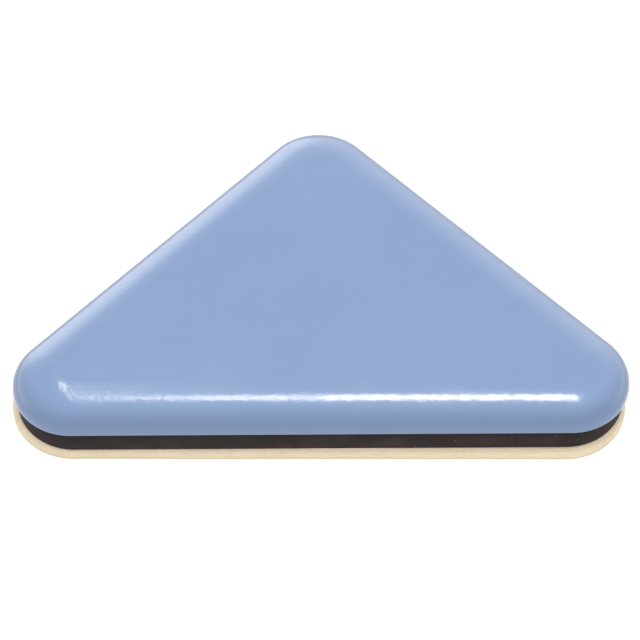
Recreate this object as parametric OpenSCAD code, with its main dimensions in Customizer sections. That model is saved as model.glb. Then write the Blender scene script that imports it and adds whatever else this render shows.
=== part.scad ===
// Triangular stick-on furniture glide: a low-friction cap on a rubber cushion, with foam tape below.
// The long side lies along X at the front, the apex points to +Y, and the sliding face looks up.

/* [Outline] */
// Overall length of the long side, over its rounded corners
base_w = 50; // [40:1:80]
// Angle at the apex, square to suit the corner of a chair or cabinet
apex_angle = 90; // [75:1:105]
// Corner radius of the cap, seen from above
corner_r = 4.9; // [4.2:0.1:7]

/* [Glide cap] */
// Height of the cap from its rim to the sliding face
cap_h = 2.4; // [2.2:0.05:4]
// Wall thickness of the cap
cap_wall = 1; // [0.8:0.05:1.3]
// Width over which the sliding face rounds off to the rim
edge_run = 3.8; // [2.6:0.1:4.6]
// Radius of the tight shoulder low on the edge
shoulder_r = 1.5; // [1.3:0.05:1.8]
// Height of the upright land between the rim and the shoulder
rim_land = 0.32; // [0.25:0.01:0.5]
// Radius on the outer lower edge of the rim
rim_r = 0.12; // [0.05:0.01:0.24]

/* [Cushion pad] */
// Thickness of the glue film between the cap and the pad
bond_t = 0.1; // [0.05:0.01:0.15]
// Height of the pad that shows below the cap's rim
foot_h = 2.3; // [1.5:0.05:5]
// Distance from the cap's side to the pad's side
pad_inset = 0.2; // [0.1:0.05:0.4]
// How much larger the pad's corner radius is than if it ran even with the cap's
pad_corner_ease = 0.3; // [0:0.02:0.36]

/* [Mounting tape] */
// How far the tape's side stands out past the cap's side
tape_proud = 0.16; // [0:0.02:0.4]
// How much larger the tape's corner radius is than if it ran even with the cap's
tape_corner_ease = 0.1; // [0:0.02:0.6]
// Thickness of the foam carrier
foam_t = 0.7; // [0.2:0.02:1.5]
// Thickness of the glue coat on each face of the foam
coat_t = 0.05; // [0.03:0.01:0.15]
// Thickness of the paper liner
liner_t = 0.16; // [0.08:0.01:0.4]

/* [Hidden] */
// Straight steps that make up one rounded corner, seen from above
corner_steps = 18;
// Straight steps that make up one arc of the cap's edge
arc_steps = 6;

// Inner triangle: the line that the cap's edge profile is swept round
core_half = base_w / 2 - corner_r;
core_depth = core_half / tan(apex_angle / 2);
core_leg = norm([core_half, core_depth]);
core_inradius = core_half * core_depth / (core_half + core_leg);

// Middle of the overall depth, from the tape's front side to its apex
apex_loss = tape_corner_ease * (1 / sin(apex_angle / 2) - 1);
middle_y = (core_depth - apex_loss) / 2;

// Directions that the three rounded corners start from and the angles that they turn through
corner_starts = [180 - apex_angle / 2, 270, apex_angle / 2];
corner_turns = [90 + apex_angle / 2, 90 + apex_angle / 2, 180 - apex_angle];

// Heights of the layers, from the paper up
mount_coat_z = liner_t;
foam_z = mount_coat_z + coat_t;
pad_coat_z = foam_z + foam_t;
pad_z = pad_coat_z + coat_t;
rim_z = pad_z + foot_h;

// Edge profile: the crown arc runs tangent into the shoulder arc
arc_rise = cap_h - rim_land;
shoulder_u = corner_r - shoulder_r;
flat_u = corner_r - edge_run;
arc_span = shoulder_u - flat_u;
crown_r = (arc_span ^ 2 + arc_rise ^ 2 - shoulder_r ^ 2) / (2 * (arc_rise - shoulder_r));
crown_z = cap_h - crown_r;
crown_end = acos(arc_span / (crown_r - shoulder_r));

// How far the surfaces inside the cap lie in from its outside
hollow_inset = cap_wall;
plug_inset = cap_wall + bond_t;

// Corners of the inner triangle after its sides move in by a distance, with the overall depth centred
function core_corners(inset) =
    let (keep = 1 - inset / core_inradius)
    let (front = core_inradius * (1 - keep) - middle_y)
    let (back = core_inradius + (core_depth - core_inradius) * keep - middle_y)
    [[-core_half * keep, front], [core_half * keep, front], [0, back]];

// A list from its last entry to its first, and a list without its first entry
function reversed(list) = [for (i = [len(list) - 1 : -1 : 0]) list[i]];
function but_first(list) = [for (i = [1 : len(list) - 1]) list[i]];

// Points along an arc
function arc(centre, radius, from, to, steps) =
    [for (i = [0 : steps])
        let (angle = from + (to - from) * i / steps)
        centre + radius * [cos(angle), sin(angle)]];

// Triangle whose sides lie a distance inside the cap's sides, with its corners eased by a larger radius
function outline(inset, ease) =
    let (corners = core_corners(ease), radius = corner_r - inset + ease)
    [for (i = [0 : 2])
        each arc(corners[i], radius, corner_starts[i], corner_starts[i] + corner_turns[i], corner_steps)];

// Edge profile from the land up to the flat, for the cap or for a surface that lies a distance inside it
function edge_profile(inset) =
    concat(
        arc([shoulder_u, rim_land], shoulder_r - inset, 0, crown_end, arc_steps),
        but_first(arc([flat_u, crown_z], crown_r - inset, crown_end, 90, arc_steps)));

// Lower edge of the cap, rounded outside, and of a surface inside it, which ends square
function rounded_rim() = arc([corner_r - rim_r, rim_r], rim_r, -90, 0, arc_steps);
function square_rim(inset) = [[corner_r - inset, 0]];

// Rings of a body whose side follows a profile: the inset, corner ease and height of each
function rings(profile) = [for (p = profile) [corner_r - p.x, 0, rim_z + p.y]];
function dome(inset) = rings(concat(square_rim(inset), edge_profile(inset)));

// Body that joins a stack of rings and closes its two ends
module loft(stack) {
    count = 3 * (corner_steps + 1);
    top = (len(stack) - 1) * count;
    points = [for (ring = stack) for (p = outline(ring[0], ring[1])) [p.x, p.y, ring[2]]];
    sides = [for (low = [0 : count : top - count]) for (j = [0 : count - 1])
        let (next = (j + 1) % count)
        [low + j, low + count + j, low + count + next, low + next]];
    lower_end = [for (j = [0 : count - 1]) j];
    upper_end = [for (j = [count - 1 : -1 : 0]) top + j];
    polyhedron(points, concat(sides, [lower_end, upper_end]));
}

// Flat layer of the tape
module tape_layer(z, thickness) {
    translate([0, 0, z]) linear_extrude(thickness) polygon(outline(-tape_proud, tape_corner_ease));
}

// Low-friction cap: a moulded shell with a flat sliding face and a rounded edge, open below
module glide_cap() {
    outside = rings(concat(rounded_rim(), edge_profile(0)));
    color("#91A8CE") loft(concat(reversed(dome(hollow_inset)), outside));
}

// Glue film that lines the cap
module bond_film() {
    color("#D8D2C0") loft(concat(reversed(dome(plug_inset)), dome(hollow_inset)));
}

// Rubber cushion: the foot carries the cap's rim, and the plug fills the cap
module cushion_pad() {
    foot = [for (z = [pad_z, rim_z]) [pad_inset, pad_corner_ease, z]];
    color("#2E2B2C") loft(concat(foot, dome(plug_inset)));
}

// Glue coat between the foam and the pad
module pad_adhesive() {
    color("#EDE3CB") tape_layer(pad_coat_z, coat_t);
}

// Foam carrier of the tape
module tape_foam() {
    color("#EADBC0") tape_layer(foam_z, foam_t);
}

// Glue coat that holds the glide on the furniture
module mount_adhesive() {
    color("#E6D8BA") tape_layer(mount_coat_z, coat_t);
}

// Paper liner, peeled away before use
module release_liner() {
    color("#D0BB9C") tape_layer(0, liner_t);
}

release_liner();
mount_adhesive();
tape_foam();
pad_adhesive();
cushion_pad();
bond_film();
glide_cap();
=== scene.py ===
"""Triangular stick-on furniture glide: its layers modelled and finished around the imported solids."""

import math

import bmesh
import bpy
from bpy.props import FloatProperty, FloatVectorProperty, PointerProperty
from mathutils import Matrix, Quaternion, Vector


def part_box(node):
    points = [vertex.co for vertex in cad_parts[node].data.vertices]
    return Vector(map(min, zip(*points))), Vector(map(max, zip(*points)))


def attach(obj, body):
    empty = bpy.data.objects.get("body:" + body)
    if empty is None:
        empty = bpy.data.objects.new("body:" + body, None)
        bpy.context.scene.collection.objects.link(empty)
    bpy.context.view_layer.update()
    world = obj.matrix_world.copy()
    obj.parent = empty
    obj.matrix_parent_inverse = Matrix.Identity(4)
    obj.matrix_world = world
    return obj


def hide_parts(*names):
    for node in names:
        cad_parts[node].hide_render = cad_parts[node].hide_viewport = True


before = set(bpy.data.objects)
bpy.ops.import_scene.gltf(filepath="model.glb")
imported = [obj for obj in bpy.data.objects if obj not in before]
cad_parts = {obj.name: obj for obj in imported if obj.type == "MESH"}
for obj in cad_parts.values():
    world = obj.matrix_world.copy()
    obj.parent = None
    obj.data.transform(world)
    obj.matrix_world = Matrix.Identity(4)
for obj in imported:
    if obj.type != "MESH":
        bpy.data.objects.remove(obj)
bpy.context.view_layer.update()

bl_info = {
    "name": "Furniture Glide",
    "version": (1, 0, 0),
    "blender": (4, 5, 0),
    "location": "3D View > Sidebar > Glide",
    "description": "Models a triangular stick-on furniture glide layer by layer and lights it",
    "category": "Object",
}

MM = 0.001

# Straight steps in a full turn of an outline, along each of its sides, and in each arc of a profile
OUTLINE_STEPS = 96
SIDE_STEPS = 40
ARC_STEPS = 12
# Lengths below this count as none, and points this close to an arc count as lying on it
TINY = 1e-7
ON_ARC = 1e-5
# Edges that meet at less than this angle are shaded as one smooth surface
SMOOTH_ANGLE = math.radians(40)

# Size of the table, how far it lies below the paper, and its two tones of white
TABLE_SIZE = 4.0
TABLE_DROP = 0.02 * MM
TABLE_TONES = (0.90, 0.92)
# Height of the lamps over the table, and the turn of the two strip lamps against the long side
LAMP_HEIGHT = 0.40
STRIP_TURN = math.radians(-23)
# Widths and depths of the lamps that hang on one spot, so that their patch of light has a soft edge
CORNER_LAMP_SIZES = ((0.010, 0.060), (0.016, 0.095), (0.022, 0.130))
# Directions that the soft glows come from, and how wide they spread
BACK_GLOW = ((-0.2, 0.68, 0.70), 0.3)
FRONT_GLOW = ((0, -0.6, 0.8), 0.5)
WINDOW_GLOW = ((-0.37, 0.92, 0.14), 0.1)
# Width of the camera's sensor, in millimetres
SENSOR_WIDTH = 36


def length(name, description, default):
    """A size that a user can change."""
    return FloatProperty(name=name, description=description, default=default, unit="LENGTH", precision=5)


def angle(name, description, degrees):
    """An angle that a user can change."""
    return FloatProperty(
        name=name, description=description, default=math.radians(degrees), subtype="ANGLE")


def level(name, description, default):
    """A plain number that a user can change."""
    return FloatProperty(name=name, description=description, default=default)


def colour(name, description, default):
    """A colour that a user can change."""
    return FloatVectorProperty(
        name=name, description=description, default=default, subtype="COLOR", size=3, min=0.0, max=1.0)


class GlideCapSettings(bpy.types.PropertyGroup):
    """Sizes and colours of the moulded cap."""

    corner_radius: length("Corner radius", "Corner radius of the cap, seen from above", 4.9 * MM)
    left_trim: length("Left corner trim", "How much sharper the left corner is moulded", 0.2 * MM)
    edge_run: length("Edge run", "Width over which the sliding face rounds off to the rim", 3.8 * MM)
    shoulder_radius: length("Shoulder radius", "Radius of the tight shoulder low on the edge", 1.5 * MM)
    rim_land: length("Rim land", "Height of the upright land above the rim", 0.32 * MM)
    rim_radius: length("Rim radius", "Radius on the outer lower edge of the rim", 0.12 * MM)
    wall: length("Wall", "Wall thickness of the cap", 1.0 * MM)
    colour: colour("Colour", "Blue-grey of the moulded plastic", (0.225, 0.331, 0.559))
    haze: colour("Haze", "Paler tone of the faint flow marks in the plastic", (0.242, 0.346, 0.573))
    # Painted shade: the rounded edge below the flat face takes a deeper colour that stands in for the
    # shade on it
    edge_painted_shade: level("Edge tone", "How deep the colour stays on the edge, below the buffed face", 0.76)
    unshaded: length("Unshaded height", "How far below the sliding face the buffing reaches", 0.6 * MM)


class GlidePadSettings(bpy.types.PropertyGroup):
    """Sizes and colours of the rubber pad and the glue film above it."""

    corner_radius: length("Corner radius", "Corner radius of the pad's foot, seen from above", 5.0 * MM)
    left_trim: length("Left corner trim", "How much sharper the foot's left corner is cut", 0.36 * MM)
    right_trim: length("Right corner trim", "How much sharper the foot's right corner is cut", 0.15 * MM)
    film: length("Glue film", "Thickness of the glue between the cap and the pad", 0.1 * MM)
    edge_radius: length("Edge radius", "Radius on the lower and upper edges of the foot", 0.12 * MM)
    waist: length("Waist", "How far the cut side draws in at half its height", 0.07 * MM)
    colour: colour("Colour", "Black of the rubber", (0.010, 0.007, 0.008))
    bloom: colour("Bloom", "Grey of the dusty bloom on the rubber", (0.060, 0.050, 0.048))
    # Painted light: the brown that lightens the rubber's side low down stands in for light bounced up
    # from the cream tape
    dust: colour("Dust", "Brown of the dust that gathers low on the rubber's side", (0.065, 0.043, 0.043))
    lint: colour("Lint", "Pale grey of the specks of lint on the rubber", (0.45, 0.42, 0.38))
    film_colour: colour("Glue colour", "Colour of the cured glue film", (0.67, 0.63, 0.52))


class GlideTapeSettings(bpy.types.PropertyGroup):
    """Sizes and colours of the mounting tape and its paper liner."""

    corner_radius: length("Corner radius", "Corner radius of the tape, seen from above", 5.16 * MM)
    left_trim: length("Left corner trim", "How much sharper the tape's left corner is cut", 0.1 * MM)
    crush: length("Crushed edge", "Radius to which the die crushed the foam's upper edge", 0.55 * MM)
    edge_radius: length("Edge radius", "Radius on the foam's lower edge", 0.04 * MM)
    coat_inset: length("Coat inset", "How far the upper coat stops short of the foam's side", 0.40 * MM)
    bulge: length("Bulge", "How far the foam swells out between its faces", 0.03 * MM)
    waviness: length("Waviness", "Unevenness of the die-cut edge", 0.16 * MM)
    wave_length: length("Wave length", "Distance between the waves of the cut edge", 7.0 * MM)
    skew: angle("Skew", "How far the tape is turned against the pad", -0.45)
    shift: length("Shift", "How far the tape lies off the pad's middle, towards the left", 0.1 * MM)
    foam_colour: colour("Foam colour", "Cream of the foam", (0.96, 0.82, 0.60))
    glue_colour: colour("Glue colour", "Cream of the glue coats", (0.97, 0.86, 0.65))
    speck_colour: colour("Speck colour", "Brown of the dust that stuck to the glue", (0.16, 0.12, 0.09))
    liner_colour: colour("Liner colour", "Tan of the paper liner", (0.86, 0.69, 0.45))


class GlideStageSettings(bpy.types.PropertyGroup):
    """Camera, lamps, surroundings and table."""

    distance: length("Distance", "Distance of the camera from the object", 0.5)
    elevation: angle("Elevation", "Angle of the camera above the table", 54.62)
    azimuth: angle("Azimuth", "How far the camera stands to the right of the long side's middle", -2.22)
    roll: angle("Roll", "Turn of the camera about its own line of sight", 1.51)
    aim_drop: length("Aim drop", "How far below the object's middle the camera aims", 0.963 * MM)
    focal_length: level("Focal length", "Focal length in millimetres on a 36 mm sensor", 339.2)
    ambient: level("Ambient", "Brightness of the surroundings as light on the object", 0.20)
    back_glow: level("Back glow", "Brightness of the soft glow high behind the object", 0.5)
    front_glow: level("Front glow", "Brightness of the soft glow above and to the front", 1.05)
    side_glow: level("Side glow", "Brightness of the soft glow on the left and on the right", 1.0)
    horizon: level("Horizon", "Brightness of the low glow at the back that the edges mirror", 1.6)
    key_level: level("Key", "Brightness of the overhead strip lamp", 22.0)
    side_level: level("Side", "Brightness of the dimmer strip lamp to the left of the key", 9.0)
    corner_level: level("Corner", "Brightness of the small lamps that catch the left corner", 11.0)
    window_level: level("Window", "Brightness of the soft window that the back left edge mirrors", 2.0)
    table_glow: level("Table glow", "Brightness of the light that comes up through the white table", 0.1)
    table_lift: level("Table lift", "Brightness of that light where the table is seen or mirrored", 0.4)


class GlideSettings(bpy.types.PropertyGroup):
    """All settings of the glide."""

    cap: PointerProperty(type=GlideCapSettings)
    pad: PointerProperty(type=GlidePadSettings)
    tape: PointerProperty(type=GlideTapeSettings)
    stage: PointerProperty(type=GlideStageSettings)


# Modelling

def corner_layout(node, radius, left_trim=0.0, right_trim=0.0):
    """Centre and radius of each rounded corner of a layer, and the directions that it turns between."""
    low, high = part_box(node)
    half = high.x - radius
    front = low.y + radius
    back = high.y - radius
    lean = math.atan2(half, back - front)
    # A sharper corner keeps touching its two sides, so its centre moves out between them
    half_angle = math.pi / 4 - lean / 2
    reach = 1 / math.tan(half_angle)
    right = Vector((half + right_trim * reach, front - right_trim, 0))
    left = Vector((-half - left_trim * reach, front - left_trim, 0))
    return [
        (right, radius - right_trim, -math.pi / 2, lean),
        (Vector((0, back, 0)), radius, lean, math.pi - lean),
        (left, radius - left_trim, math.pi - lean, 1.5 * math.pi),
    ]


def direction_of(point):
    """The direction of a point seen from the origin, counted on from straight towards the front."""
    turn = math.atan2(point.y, point.x)
    return turn if turn > -math.pi / 2 else turn + 2 * math.pi


def select_only(kind, test):
    """Select only the vertices, edges or faces of the piece in edit mode that pass a test."""
    bpy.ops.mesh.select_mode(type=kind)
    bpy.ops.mesh.select_all(action="DESELECT")
    data = bpy.context.object.data
    mesh = bmesh.from_edit_mesh(data)
    for element in {"VERT": mesh.verts, "EDGE": mesh.edges, "FACE": mesh.faces}[kind]:
        if test(element):
            element.select_set(True)
    mesh.select_flush_mode()
    bmesh.update_edit_mesh(data)


def draw_outline(name, corners, radius, height):
    """A flat face with a layer's outline: a ring that is pulled apart into its three rounded corners."""
    bpy.ops.object.select_all(action="DESELECT")
    # Half a step of turn keeps the points clear of the directions where two corners meet
    half_step = math.pi / OUTLINE_STEPS
    bpy.ops.mesh.primitive_circle_add(
        vertices=OUTLINE_STEPS, radius=radius, location=(0, 0, height), rotation=(0, 0, half_step))
    piece = bpy.context.object
    piece.name = name
    piece.data.name = name
    bpy.ops.object.transform_apply(location=True, rotation=True, scale=True)
    turns = [direction_of(vertex.co) for vertex in piece.data.vertices]
    bpy.ops.object.mode_set(mode="EDIT")
    for centre, corner_radius, start, end in corners:
        select_only("VERT", lambda vertex: start < turns[vertex.index] < end)
        scale = corner_radius / radius
        bpy.ops.transform.resize(value=(scale, scale, 1), center_override=(0, 0, height))
        bpy.ops.transform.translate(value=centre)
    # The three straight sides are the only edges longer than the radius
    select_only("EDGE", lambda edge: edge.calc_length() > radius)
    bpy.ops.mesh.subdivide(number_cuts=SIDE_STEPS - 1)
    bpy.ops.mesh.select_all(action="SELECT")
    bpy.ops.mesh.edge_face_add()
    bpy.ops.mesh.select_mode(type="FACE")
    if bmesh.from_edit_mesh(piece.data).faces[:][0].normal.z < 0:
        bpy.ops.mesh.flip_normals()
    return piece


def follow_profile(points, facing):
    """Carry the selected face along a profile of (inset, height) points. It faces up, 1, or down, -1."""
    for (inset, height), (next_inset, next_height) in zip(points, points[1:]):
        run = next_inset - inset
        rise = next_height - height
        if run < TINY:
            bpy.ops.mesh.extrude_region_move(TRANSFORM_OT_translate={"value": (0, 0, rise)})
        else:
            bpy.ops.mesh.inset(thickness=run, depth=rise * facing, use_even_offset=True)


def select_underside():
    """Select the lowest face that looks down."""
    faces = bmesh.from_edit_mesh(bpy.context.object.data).faces
    lowest = min(face.calc_center_median().z for face in faces)
    select_only("FACE", lambda face: face.normal.z < -0.5 and face.calc_center_median().z < lowest + TINY)


def close_piece(piece):
    """Merge doubled points, make the normals agree, leave edit mode and shade round surfaces smooth."""
    bpy.ops.mesh.select_all(action="SELECT")
    bpy.ops.mesh.remove_doubles(threshold=TINY)
    bpy.ops.mesh.normals_make_consistent(inside=False)
    bpy.ops.object.mode_set(mode="OBJECT")
    bpy.ops.object.shade_smooth_by_angle(angle=SMOOTH_ANGLE)
    if not piece.data.polygons:
        raise RuntimeError(f"{piece.name} came out empty")


def place_piece(piece, node, body, material):
    """Let a finished piece stand for its solid, move with its body and take its finish."""
    piece.data.materials.append(material)
    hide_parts(node)
    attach(piece, body)


def arc(centre_inset, centre_height, radius, start, end):
    """Points of a profile on an arc, with angles counted up from straight outwards."""
    points = []
    for step in range(ARC_STEPS + 1):
        turn = start + (end - start) * step / ARC_STEPS
        points.append((centre_inset - radius * math.cos(turn), centre_height + radius * math.sin(turn)))
    return points


def edge_profile(cap, offset):
    """Profile from the cap's land to its flat, or that of a surface which lies an offset inside it."""
    low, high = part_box("glide_cap")
    height = high.z - low.z
    span = cap.edge_run - cap.shoulder_radius
    rise = height - cap.rim_land
    crown = (span ** 2 + rise ** 2 - cap.shoulder_radius ** 2) / (2 * (rise - cap.shoulder_radius))
    meet = math.acos(span / (crown - cap.shoulder_radius))
    shoulder_arc = arc(cap.shoulder_radius, cap.rim_land, cap.shoulder_radius - offset, 0, meet)
    crown_arc = arc(cap.edge_run, height - crown, crown - offset, meet, math.pi / 2)
    return shoulder_arc + crown_arc[1:]


# Finishes

class Wire:
    """A value in a shader. Python arithmetic on it adds Math nodes."""

    def __init__(self, finish, socket):
        self.finish = finish
        self.socket = socket

    def __add__(self, other):
        return self.finish.math("ADD", self, other)

    def __radd__(self, other):
        return self.finish.math("ADD", other, self)

    def __sub__(self, other):
        return self.finish.math("SUBTRACT", self, other)

    def __rsub__(self, other):
        return self.finish.math("SUBTRACT", other, self)

    def __mul__(self, other):
        return self.finish.math("MULTIPLY", self, other)

    def __rmul__(self, other):
        return self.finish.math("MULTIPLY", other, self)


def find_socket(sockets, key):
    """One of a node's sockets, by its identifier, or else by its name or its place in the list."""
    for socket in sockets:
        if socket.identifier == key:
            return socket
    return sockets[key]


class Finish:
    """A node tree under construction."""

    def __init__(self, tree):
        self.tree = tree

    def node(self, kind, settings=None, sockets=None):
        """Add a node, make its settings, then set or link its sockets."""
        node = self.tree.nodes.new(kind)
        for key, value in (settings or {}).items():
            setattr(node, key, value)
        for key, value in (sockets or {}).items():
            self.feed(node, key, value)
        return node

    def feed(self, node, key, value):
        """Set or link one input."""
        socket = find_socket(node.inputs, key)
        if isinstance(value, Wire):
            self.tree.links.new(value.socket, socket)
        elif socket.type == "RGBA":
            socket.default_value = (*value, 1)
        else:
            socket.default_value = value

    def wire(self, kind, settings=None, sockets=None, output=0):
        """Add a node and return one of its outputs."""
        return Wire(self, find_socket(self.node(kind, settings, sockets).outputs, output))

    def math(self, operation, first, second):
        """A Math node."""
        return self.wire("ShaderNodeMath", {"operation": operation}, {0: first, 1: second})

    def mix(self, factor, first, second):
        """A blend of two colours."""
        return self.wire(
            "ShaderNodeMix", {"data_type": "RGBA"},
            {"Factor_Float": factor, "A_Color": first, "B_Color": second}, "Result_Color")

    def place(self, scale=(1, 1, 1)):
        """Where a point lies on the piece. A scale below 1 draws a pattern out along its axis."""
        spot = self.wire("ShaderNodeTexCoord", output="Object")
        return self.wire("ShaderNodeMapping", None, {"Vector": spot, "Scale": scale})

    def along(self, axis, vector):
        """How far a vector reaches along an axis."""
        return self.wire("ShaderNodeSeparateXYZ", None, {"Vector": vector}, axis)

    def noise(self, grain, detail, scale=(1, 1, 1)):
        """Cloudy noise whose patches are about as wide as the grain."""
        sockets = {"Vector": self.place(scale), "Scale": 1 / grain, "Detail": detail}
        return self.wire("ShaderNodeTexNoise", None, sockets)

    def spots(self, spacing):
        """Distance from the nearest of many scattered points, in units of their spacing."""
        sockets = {"Vector": self.place(), "Scale": 1 / spacing}
        return self.wire("ShaderNodeTexVoronoi", None, sockets, "Distance")

    def fade(self, value, low, high):
        """A mask that rises smoothly from 0 at low to 1 at high, or falls where high is the lower."""
        sockets = {"Value": value, "From Min": low, "From Max": high}
        return self.wire("ShaderNodeMapRange", {"interpolation_type": "SMOOTHSTEP"}, sockets)

    def seen(self):
        """A mask of the rays from the camera, straight or by way of a mirror or a clear piece."""
        path = self.node("ShaderNodeLightPath")
        names = ("Is Camera Ray", "Is Glossy Ray", "Is Transmission Ray")
        rays = sum(Wire(self, path.outputs[name]) for name in names)
        return self.math("MINIMUM", rays, 1)

    def bump(self, height, depth):
        """A normal that shows a height field of the given depth."""
        sockets = {"Height": height, "Distance": depth, "Strength": 1.0}
        return self.wire("ShaderNodeBump", None, sockets, "Normal")


def surface(name, **sockets):
    """A material and its finish, with constants set on its shader."""
    material = bpy.data.materials.new(name)
    material.use_nodes = True
    finish = Finish(material.node_tree)
    shader = material.node_tree.nodes["Principled BSDF"]
    for key, value in sockets.items():
        shader.inputs[key.replace("_", " ")].default_value = value
    return material, finish, shader


def darker(tone, share):
    """A colour with only a share of its brightness."""
    return [share * part for part in tone]


def cap_finish(cap):
    """Waxy plastic: a face with faint flow marks, an edge deeper in colour as painted shade, and a
    scuffed, rippled gloss.
    """
    material, finish, shader = surface(
        "moulded_blue_plastic", IOR=1.5, Coat_Weight=0.2, Coat_Roughness=0.3)
    flow = finish.fade(finish.noise(9 * MM, detail=3.0), 0.3, 0.7)
    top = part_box("glide_cap")[1].z
    height = finish.along("Z", finish.place())
    # Painted shade: the full colour of the face fades out little by little about its lower limit, and
    # below it the deeper edge colour stands in for the shade on the rounded edge
    unshaded = finish.fade(height, top - 1.6 * cap.unshaded, top - 0.4 * cap.unshaded)
    edge = darker(cap.colour, cap.edge_painted_shade)
    grain = finish.noise(0.2 * MM, detail=2.0)
    ripple = finish.noise(0.45 * MM, detail=1.0)
    scuffs = finish.fade(finish.noise(1.5 * MM, detail=4.0, scale=(0.35, 1, 1)), 0.52, 0.68)
    finish.feed(shader, "Base Color", finish.mix(unshaded, edge, finish.mix(flow, cap.colour, cap.haze)))
    finish.feed(shader, "Roughness", 0.10 + 0.06 * grain + 0.06 * scuffs)
    finish.feed(shader, "Normal", finish.bump(0.25 * grain + ripple, depth=0.009 * MM))
    return material


def rubber_finish(pad):
    """Cut black rubber: fine grain, upright drag marks, grey bloom, painted bounce light that turns the
    side lighter and browner low down, and some lint.
    """
    material, finish, shader = surface("black_cushion_rubber", Specular_IOR_Level=0.15)
    grain = finish.noise(0.12 * MM, detail=3.0)
    drag = finish.noise(0.5 * MM, detail=3.0, scale=(1, 1, 0.25))
    bloom = finish.fade(finish.noise(3.0 * MM, detail=4.0), 0.40, 0.72)
    lint = finish.fade(finish.spots(1.3 * MM), 0.09, 0.05)
    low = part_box("cushion_pad")[0].z
    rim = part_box("glide_cap")[0].z
    height = finish.along("Z", finish.place())
    # Painted light: the side grows lighter and browner towards its lower edge, standing in for light
    # bounced up from the cream tape
    dusty = finish.fade(height, rim, low) * (0.5 + 0.5 * bloom)
    black = finish.mix(0.7 * dusty, finish.mix(0.2 * bloom, pad.colour, pad.bloom), pad.dust)
    finish.feed(shader, "Base Color", finish.mix(0.15 * lint, black, pad.lint))
    finish.feed(shader, "Roughness", 0.55 + 0.25 * grain)
    finish.feed(shader, "Normal", finish.bump(grain + 2.0 * drag, depth=0.02 * MM))
    return material


def film_finish(pad):
    """Cured glue film with a slightly uneven spread."""
    material, finish, shader = surface("cured_glue_film", IOR=1.47)
    spread = finish.noise(2.0 * MM, detail=2.0)
    dark = darker(pad.film_colour, 0.8)
    finish.feed(shader, "Base Color", finish.mix(spread, dark, pad.film_colour))
    finish.feed(shader, "Roughness", 0.3 + 0.2 * spread)
    return material


def glue_finish(tape):
    """Tacky glue coat: a soft shine, low ripples, and dark specks of dust that stuck to it."""
    material, finish, shader = surface("tacky_glue_coat", IOR=1.47)
    spread = finish.noise(1.6 * MM, detail=3.0)
    specks = finish.fade(finish.spots(0.9 * MM), 0.10, 0.06)
    few = finish.fade(finish.noise(2.2 * MM, detail=2.0), 0.55, 0.65)
    dark = darker(tape.glue_colour, 0.93)
    cream = finish.mix(spread, dark, tape.glue_colour)
    finish.feed(shader, "Base Color", finish.mix(0.3 * specks * few, cream, tape.speck_colour))
    finish.feed(shader, "Roughness", 0.38 + 0.2 * spread)
    finish.feed(shader, "Normal", finish.bump(spread, depth=0.05 * MM))
    return material


def foam_finish(tape):
    """Closed-cell foam, with the small cells that the cut has opened."""
    material, finish, shader = surface("cream_closed_cell_foam", IOR=1.4)
    cells = finish.spots(0.16 * MM)
    tone = finish.noise(1.8 * MM, detail=3.0)
    pits = finish.fade(cells, 0.45, 0.15)
    cream = finish.mix(tone, darker(tape.foam_colour, 0.9), tape.foam_colour)
    # Painted shade: the opened cells are darkened in colour, as the shade that falls in the pits
    finish.feed(shader, "Base Color", finish.mix(0.12 * pits, cream, darker(tape.foam_colour, 0.5)))
    finish.feed(shader, "Roughness", 0.75 + 0.15 * pits)
    finish.feed(shader, "Normal", finish.bump(1 - pits, depth=0.02 * MM))
    return material


def liner_finish(tape):
    """Coated tan paper with fine fibres and a mottled tone."""
    material, finish, shader = surface("tan_release_paper", IOR=1.45)
    fibres = finish.noise(0.3 * MM, detail=4.0, scale=(0.3, 1, 1))
    mottle = finish.noise(2.5 * MM, detail=3.0)
    dark = darker(tape.liner_colour, 0.8)
    finish.feed(shader, "Base Color", finish.mix(0.5 * fibres + 0.5 * mottle, dark, tape.liner_colour))
    finish.feed(shader, "Roughness", 0.55 + 0.2 * fibres)
    finish.feed(shader, "Normal", finish.bump(fibres, depth=0.02 * MM))
    return material


# Pieces

class GLIDE_OT_cap(bpy.types.Operator):
    """Model the moulded cap: a shell with a flat face, a rounded edge and a hollow underside"""

    bl_idname = "glide.cap"
    bl_label = "Cap"

    def execute(self, context):
        cap = context.scene.glide.cap
        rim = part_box("glide_cap")[0].z
        widest = rim + cap.rim_radius
        corners = corner_layout("glide_cap", cap.corner_radius, cap.left_trim)
        piece = draw_outline("cap_shell", corners, cap.corner_radius, widest)
        outside = [(0, cap.rim_radius), (0, cap.rim_land)] + edge_profile(cap, 0)[1:]
        follow_profile(outside, 1)
        # A flat ring inside the edge keeps the shading of the face level
        bpy.ops.mesh.inset(thickness=cap.rim_radius, use_even_offset=True)
        select_underside()
        lip = arc(cap.rim_radius, cap.rim_radius, cap.rim_radius, 0, -math.pi / 2)
        hollow = [(cap.wall, 0), (cap.wall, cap.rim_land)] + edge_profile(cap, cap.wall)[1:]
        follow_profile(lip + hollow, -1)
        close_piece(piece)
        place_piece(piece, "glide_cap", "slider", cap_finish(cap))
        return {"FINISHED"}


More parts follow.
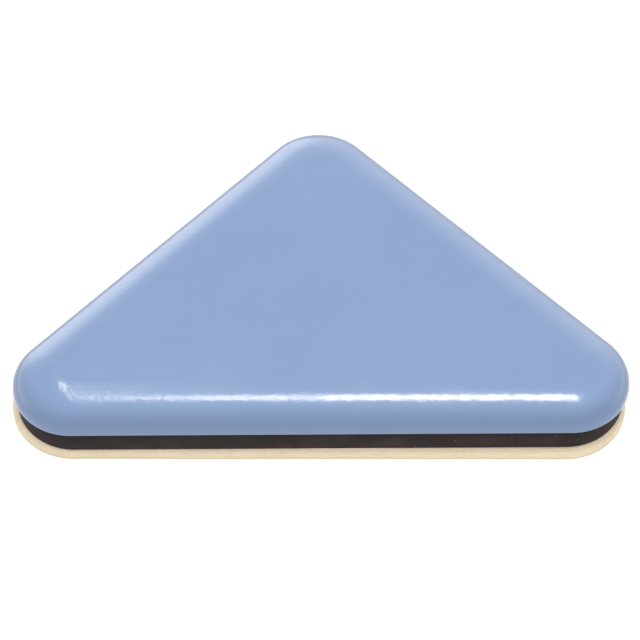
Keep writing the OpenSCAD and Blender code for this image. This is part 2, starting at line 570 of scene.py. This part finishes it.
class GLIDE_OT_pad(bpy.types.Operator):
    """Model the rubber pad: a foot with a drawn-in cut side, and the plug that fills the cap"""

    bl_idname = "glide.pad"
    bl_label = "Rubber pad"

    def execute(self, context):
        cap = context.scene.glide.cap
        pad = context.scene.glide.pad
        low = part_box("cushion_pad")[0].z
        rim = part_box("glide_cap")[0].z
        foot = rim - low
        corners = corner_layout("cushion_pad", pad.corner_radius, pad.left_trim, pad.right_trim)
        piece = draw_outline("rubber_pad", corners, pad.corner_radius, low + pad.edge_radius)
        side = [(0, pad.edge_radius), (0, foot / 2), (0, foot - pad.edge_radius)]
        follow_profile(side, 1)
        round_top = arc(pad.edge_radius, foot - pad.edge_radius, pad.edge_radius, 0, math.pi / 2)
        follow_profile(round_top, 1)
        self.raise_plug(piece, cap, pad, corners, foot)
        select_underside()
        round_bottom = arc(pad.edge_radius, pad.edge_radius, pad.edge_radius, 0, -math.pi / 2)
        follow_profile(round_bottom, -1)
        middle = low + foot / 2
        select_only("VERT", lambda vertex: abs(vertex.co.z - middle) < TINY)
        bpy.ops.transform.shrink_fatten(value=-pad.waist)
        close_piece(piece)
        place_piece(piece, "cushion_pad", "slider", rubber_finish(pad))
        return {"FINISHED"}

    def raise_plug(self, piece, cap, pad, corners, foot):
        """Draw the top face in to the plug's outline, which follows the cap's, and raise the plug."""
        inset = cap.wall + pad.film
        cap_corners = corner_layout("glide_cap", cap.corner_radius, cap.left_trim)
        side_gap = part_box("cushion_pad")[0].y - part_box("glide_cap")[0].y
        step = inset - side_gap
        bpy.ops.mesh.inset(thickness=step - pad.edge_radius, use_even_offset=True)
        ring = [vertex.index for vertex in bmesh.from_edit_mesh(piece.data).verts if vertex.select]
        for (centre, radius, start, end), (plug_centre, cap_radius, _, _) in zip(corners, cap_corners):
            ring_radius = radius - step

            def on_corner(vertex):
                out = vertex.co - centre
                return (vertex.index in ring and abs(out.xy.length - ring_radius) < ON_ARC
                        and start < direction_of(out) < end)

            select_only("VERT", on_corner)
            scale = (cap_radius - inset) / ring_radius
            bpy.ops.transform.resize(value=(scale, scale, 1), center_override=centre)
            bpy.ops.transform.translate(value=plug_centre - centre)
        # The face inside the ring is the only one up there with more than four corners
        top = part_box("cushion_pad")[0].z + foot
        select_only("FACE", lambda face: face.normal.z > 0.5 and len(face.verts) > 4
                    and abs(face.calc_center_median().z - top) < TINY)
        plug = [(inset, 0), (inset, cap.rim_land)] + edge_profile(cap, inset)[1:]
        follow_profile(plug, 1)


class GLIDE_OT_tape(bpy.types.Operator):
    """Model the layers of the mounting tape and its liner, die-cut together and stuck on askew"""

    bl_idname = "glide.tape"
    bl_label = "Tape and liner"

    def execute(self, context):
        tape = context.scene.glide.tape
        glue = glue_finish(tape)
        self.layer(
            tape, "upper_glue_coat", "pad_adhesive", "slider", "adhesive", glue, inset=tape.coat_inset)
        cream = foam_finish(tape)
        foam = self.layer(tape, "foam_carrier", "tape_foam", "slider", "foam", cream, rounded=True)
        self.layer(tape, "lower_glue_coat", "mount_adhesive", "slider", "adhesive", glue)
        self.layer(tape, "paper_liner", "release_liner", "liner", "liner_paper", liner_finish(tape))
        return {"FINISHED"}

    def layer(self, tape, name, node, body, slot, material, inset=0.0, rounded=False):
        """One layer: the shared outline, raised to its thickness, with a cut edge that waves a little."""
        low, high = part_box(node)
        thickness = high.z - low.z
        upper = tape.crush if rounded else 0
        lower = tape.edge_radius if rounded else 0
        middle = (thickness + lower - upper) / 2
        corners = [
            (centre, radius - inset, start, end)
            for centre, radius, start, end in corner_layout(node, tape.corner_radius, tape.left_trim)]
        piece = draw_outline(name, corners, tape.corner_radius, low.z + lower)
        follow_profile([(0, lower), (0, middle), (0, thickness - upper)], 1)
        if rounded:
            follow_profile(arc(upper, thickness - upper, upper, 0, math.pi / 2), 1)
            select_underside()
            follow_profile(arc(lower, lower, lower, 0, -math.pi / 2), -1)
            select_only("VERT", lambda vertex: abs(vertex.co.z - low.z - middle) < TINY)
            bpy.ops.transform.shrink_fatten(value=tape.bulge)
        close_piece(piece)
        self.wave_edge(piece, tape)
        bpy.ops.object.mode_set(mode="EDIT")
        bpy.ops.mesh.select_all(action="SELECT")
        bpy.ops.transform.rotate(value=-tape.skew, orient_axis="Z", center_override=(0, 0, 0))
        bpy.ops.transform.translate(value=(-tape.shift, 0, 0))
        bpy.ops.object.mode_set(mode="OBJECT")
        place_piece(piece, node, body, material)
        return piece

    def wave_edge(self, piece, tape):
        """Displace the outline sideways by a slow noise, the same one for every layer."""
        name = "die_cut_waves"
        clouds = bpy.data.textures.get(name) or bpy.data.textures.new(name, "CLOUDS")
        clouds.noise_scale = tape.wave_length
        for axis in "XY":
            displace = piece.modifiers.new(f"wave_{axis}", "DISPLACE")
            displace.texture = clouds
            displace.texture_coords = "LOCAL"
            displace.direction = axis
            displace.strength = tape.waviness
            bpy.ops.object.modifier_apply(modifier=displace.name)


class GLIDE_OT_film(bpy.types.Operator):
    """Give the glue film inside the cap its finish"""

    bl_idname = "glide.film"
    bl_label = "Glue film"

    def execute(self, context):
        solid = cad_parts["bond_film"]
        solid.material_slots[0].material = film_finish(context.scene.glide.pad)
        return {"FINISHED"}


class GLIDE_OT_stage(bpy.types.Operator):
    """Set the table, the surroundings, the lamps and the camera"""

    bl_idname = "glide.stage"
    bl_label = "Stage"

    def execute(self, context):
        stage = context.scene.glide.stage
        context.scene.view_settings.view_transform = "Standard"
        self.lay_table(stage)
        self.light_surroundings(context.scene, stage)
        # Each lamp has its place over the table, its width and depth, and its brightness
        self.hang_lamp("key_strip", (0.0425, 0.0112), (0.092, 0.050), stage.key_level, STRIP_TURN)
        self.hang_lamp("side_strip", (-0.0125, 0.034), (0.031, 0.045), stage.side_level, STRIP_TURN)
        self.hang_lamp("curl_lamp", (-0.037, 0.080), (0.012, 0.060), stage.corner_level)
        for size in CORNER_LAMP_SIZES:
            self.hang_lamp("corner_lamp", (-0.054, 0.162), size, stage.corner_level)
        self.set_camera(context.scene, stage)
        return {"FINISHED"}

    def lay_table(self, stage):
        """A white light table, which takes the object's shadow."""
        bpy.ops.object.select_all(action="DESELECT")
        bpy.ops.mesh.primitive_plane_add(size=TABLE_SIZE, location=(0, 0, -TABLE_DROP))
        table = bpy.context.object
        table.name = "white_table"
        material, finish, shader = surface(
            "white_table", Roughness=1.0, Specular_IOR_Level=0.0, Emission_Strength=1.0)
        dim, bright = ([tone] * 3 for tone in TABLE_TONES)
        finish.feed(shader, "Base Color", finish.mix(finish.noise(0.1, detail=2.0), dim, bright))
        glow = finish.mix(finish.seen(), [stage.table_glow] * 3, [stage.table_lift] * 3)
        finish.feed(shader, "Emission Color", glow)
        table.data.materials.append(material)

    def light_surroundings(self, scene, stage):
        """Soft light from all round, and white surroundings for what is seen or mirrored."""
        world = bpy.data.worlds.new("surroundings")
        world.use_nodes = True
        scene.world = world
        finish = Finish(world.node_tree)
        toward = finish.wire("ShaderNodeTexCoord", output="Generated")

        def glow(middle, width):
            """A soft round patch of light about a direction."""
            nearness = finish.wire(
                "ShaderNodeVectorMath", {"operation": "DOT_PRODUCT"}, {0: toward, 1: middle}, "Value")
            return finish.fade(nearness, 1 - width, 1.0)

        back = stage.back_glow * glow(*BACK_GLOW)
        front = stage.front_glow * glow(*FRONT_GLOW)
        across = finish.along("X", toward)
        sides = stage.side_glow * finish.fade(across * across, 0.4, 0.9)
        light = stage.ambient + back + front + sides
        # The horizon is bright low at the back, and fades out upwards and towards the front
        low = finish.fade(finish.along("Z", toward), 0.85, 0.1)
        behind = finish.fade(finish.along("Y", toward), -0.4, 0.2)
        mirrored = 1 + stage.horizon * low * behind + stage.window_level * glow(*WINDOW_GLOW)
        seen = finish.seen()
        background = world.node_tree.nodes["Background"]
        finish.feed(background, "Strength", seen * mirrored + (1 - seen) * light)
        finish.feed(background, "Color", (1, 1, 1))

    def hang_lamp(self, name, place, size, brightness, turn=0):
        """A rectangular lamp over the table, which shines down and isn't seen by the camera."""
        lamp = bpy.data.lights.new(name, "AREA")
        lamp.shape = "RECTANGLE"
        lamp.size, lamp.size_y = size
        # Power that gives a lamp of this size its brightness
        lamp.energy = brightness * math.pi * size[0] * size[1]
        holder = bpy.data.objects.new(name, lamp)
        holder.location = (*place, LAMP_HEIGHT)
        holder.rotation_euler.z = turn
        holder.visible_camera = False
        bpy.context.scene.collection.objects.link(holder)

    def set_camera(self, scene, stage):
        """Put the camera where the photograph was taken from."""
        reach = math.cos(stage.elevation)
        toward = Vector((
            reach * math.sin(stage.azimuth),
            -reach * math.cos(stage.azimuth),
            math.sin(stage.elevation)))
        turn = (-toward).to_track_quat("-Z", "Y")
        camera = bpy.data.cameras.new("camera")
        camera.lens = stage.focal_length
        camera.sensor_width = SENSOR_WIDTH
        holder = bpy.data.objects.new("camera", camera)
        aim = turn @ Vector((0, -stage.aim_drop, 0))
        holder.location = aim + toward * stage.distance
        holder.rotation_euler = (turn @ Quaternion((0, 0, 1), stage.roll)).to_euler()
        scene.collection.objects.link(holder)
        scene.camera = holder


class GLIDE_PT_panel(bpy.types.Panel):
    """Steps that build the glide, and its settings"""

    bl_label = "Furniture Glide"
    bl_idname = "GLIDE_PT_panel"
    bl_space_type = "VIEW_3D"
    bl_region_type = "UI"
    bl_category = "Glide"

    def draw(self, context):
        for step in STEPS:
            self.layout.operator(step.bl_idname)
        for group in ("cap", "pad", "tape", "stage"):
            box = self.layout.box()
            box.label(text=group.capitalize())
            settings = getattr(context.scene.glide, group)
            for key in settings.__annotations__:
                box.prop(settings, key)


STEPS = (GLIDE_OT_cap, GLIDE_OT_pad, GLIDE_OT_tape, GLIDE_OT_film, GLIDE_OT_stage)
SETTINGS = (GlideCapSettings, GlidePadSettings, GlideTapeSettings, GlideStageSettings, GlideSettings)
CLASSES = (*SETTINGS, *STEPS, GLIDE_PT_panel)


def register():
    for cls in CLASSES:
        bpy.utils.register_class(cls)
    bpy.types.Scene.glide = PointerProperty(type=GlideSettings)


def unregister():
    del bpy.types.Scene.glide
    for cls in reversed(CLASSES):
        bpy.utils.unregister_class(cls)


def main():
    register()
    bpy.ops.glide.cap()
    bpy.ops.glide.pad()
    bpy.ops.glide.tape()
    bpy.ops.glide.film()
    bpy.ops.glide.stage()


if __name__ == "__main__":
    main()
